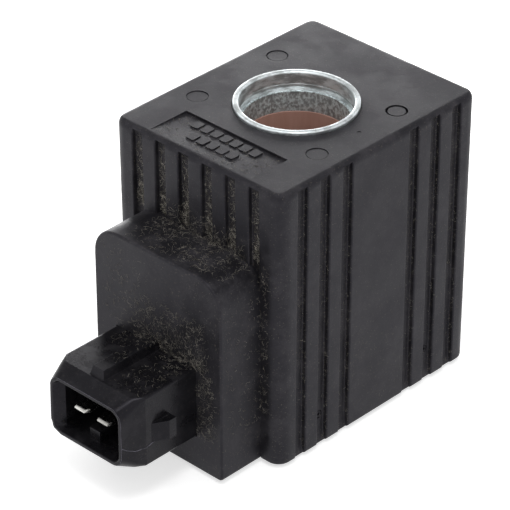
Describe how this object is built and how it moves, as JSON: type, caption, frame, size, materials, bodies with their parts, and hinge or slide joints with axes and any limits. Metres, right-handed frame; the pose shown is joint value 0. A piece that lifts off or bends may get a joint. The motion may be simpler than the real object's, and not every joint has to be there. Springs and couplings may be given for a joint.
{
  "type": "solenoid coil",
  "caption": "Encapsulated solenoid coil: fluted black block with an open steel-lined bore and a two-blade plug socket on one side.",
  "frame": {"origin": "middle of the bore, on its axis and halfway between the two steel plates", "axes": "+Z along the bore towards the face with the marking field, -Y the way the plug socket opens, +X to the right of the socket seen from in front of it"},
  "size_m": [0.0354, 0.0685, 0.0506],
  "materials": {
    "black_moulding": "fine matt texture of glass-filled plastic, dusty",
    "black_shroud": "smooth, half gloss",
    "brown_bobbin": "smooth, satin",
    "copper_wire": "enamelled copper wire",
    "amber_tape": "polyester film tape",
    "bare_steel": "punched edge, dull zinc",
    "zinc_plate": "bright zinc, turned",
    "tinned_blade": "tinned brass, bright",
    "sleeve_glass": "varnished glass braid",
    "solder": "satin solder"
  },
  "bodies": {
    "root": {"encapsulation": "black_moulding", "connector_shroud": "black_shroud", "bobbin": "brown_bobbin", "winding": "copper_wire", "winding_tape": "amber_tape", "upper_flux_plate": "bare_steel", "lower_flux_plate": "bare_steel", "front_yoke": "bare_steel", "back_yoke": "bare_steel", "upper_ring": "zinc_plate", "lower_ring": "zinc_plate", "left_terminal": "tinned_blade", "right_terminal": "tinned_blade", "start_lead": "copper_wire", "finish_lead": "copper_wire", "start_sleeve": "sleeve_glass", "finish_sleeve": "sleeve_glass", "start_solder": "solder", "finish_solder": "solder"}
  },
  "joints": []
}
